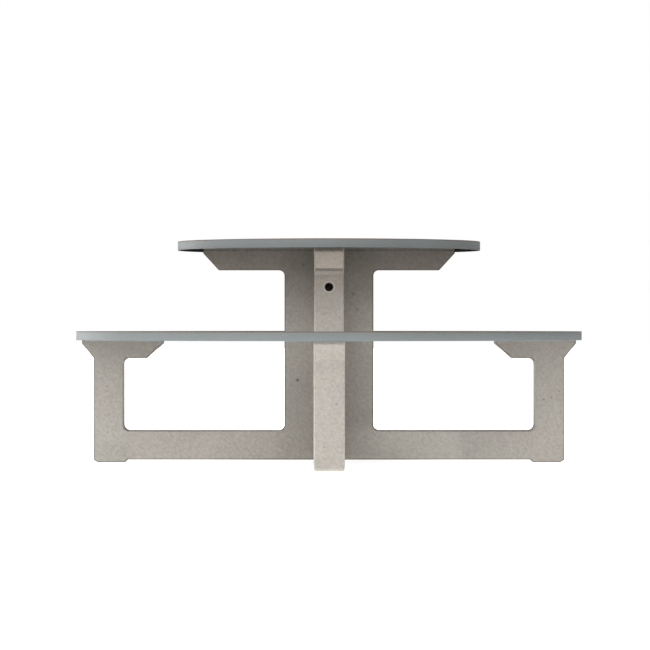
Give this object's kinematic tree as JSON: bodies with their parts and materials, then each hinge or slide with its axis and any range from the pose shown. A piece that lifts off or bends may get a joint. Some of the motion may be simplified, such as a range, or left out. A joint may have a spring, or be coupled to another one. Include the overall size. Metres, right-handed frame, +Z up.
{
  "type": "table with attached seats",
  "caption": "Round table with an attached ring seat, carried by crossed flat concrete frames that are halved into each other at the column.",
  "frame": {"origin": "on the floor under the middle of the table", "axes": "+Z up; the main frame stands along X and the cross frame along Y; the picture looks along +Y"},
  "size_m": [1.72, 1.7196, 0.75],
  "materials": {
    "concrete": "cast, fair-faced, fine blowholes",
    "brown_face": "brown textured laminate",
    "grey_band": "satin grey edge band",
    "black_backing": "black backing laminate",
    "board_core": "raw panel core",
    "stainless": "satin stainless",
    "galvanised": "hot-dip galvanised",
    "bar_steel": "rolled reinforcing steel",
    "rubber": "black bearing rubber",
    "packer": "moulded packer"
  },
  "bodies": {
    "root": {"main_frame": "concrete", "cross_frame": "concrete", "main_frame_rebar": "bar_steel", "cross_frame_rebar": "bar_steel", "joint_bearing_pad": "rubber", "upper_joint_shims": "packer", "lower_joint_shims": "packer", "tie_bolt": "galvanised", "tie_washers": "galvanised", "tie_sleeve_nut": "galvanised", "table_core": "board_core", "table_edge_band": "grey_band", "table_face": "brown_face", "table_backing": "black_backing", "table_pads": "rubber", "table_bolts": "stainless", "table_sockets": "galvanised", "seat_pads": "rubber", "seat_bolts": "stainless", "seat_sockets": "galvanised", "seat_front_core": "board_core", "seat_front_edge_band": "grey_band", "seat_front_face": "brown_face", "seat_front_backing": "black_backing", "seat_rear_core": "board_core", "seat_rear_edge_band": "grey_band", "seat_rear_face": "brown_face", "seat_rear_backing": "black_backing"}
  },
  "joints": []
}
